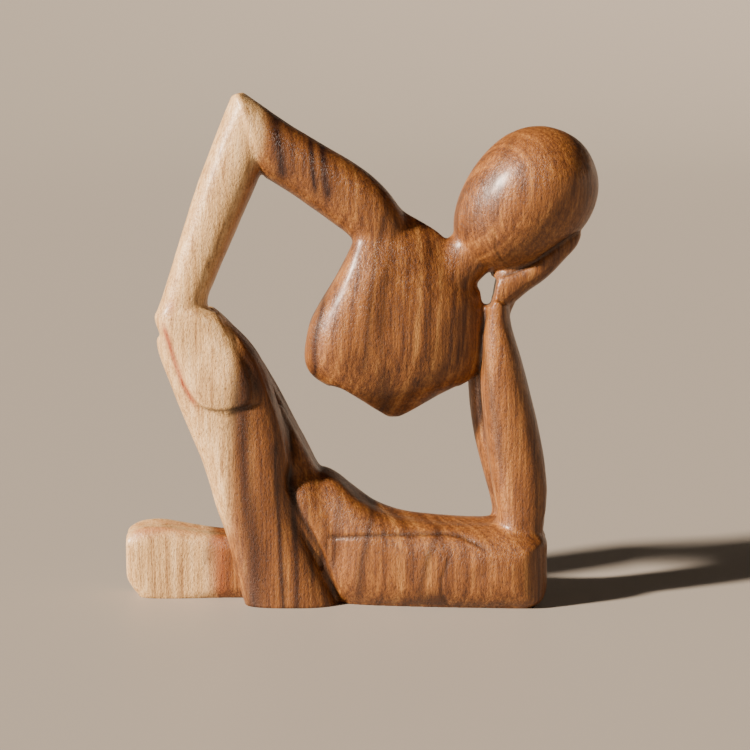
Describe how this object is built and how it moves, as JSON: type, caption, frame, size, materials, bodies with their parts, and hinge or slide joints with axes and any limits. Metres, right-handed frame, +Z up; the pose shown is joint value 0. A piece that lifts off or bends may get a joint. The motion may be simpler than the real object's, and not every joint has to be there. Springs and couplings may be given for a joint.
{
  "type": "carved wooden figure",
  "caption": "Abstract seated thinker carved from one block of wood, a hand on the raised knee and the head propped on the other hand.",
  "frame": {"origin": "middle of the flat base, under the middle of the overall box", "axes": "+Z up; +X across the figure towards the propped head and folded knee; +Y away from the front, which faces -Y"},
  "size_m": [0.202, 0.0524, 0.2174],
  "materials": {
    "wood": "satin varnish over hand-carved surface"
  },
  "bodies": {
    "root": {"head": "wood", "neck": "wood", "torso": "wood", "knee_arm_upper": "wood", "knee_arm_forearm": "wood", "hand_on_knee": "wood", "raised_thigh": "wood", "raised_shin": "wood", "folded_thigh": "wood", "folded_shin": "wood", "folded_foot": "wood", "cheek_arm_upper": "wood", "cheek_arm_forearm": "wood", "hand_on_cheek": "wood"}
  },
  "joints": []
}
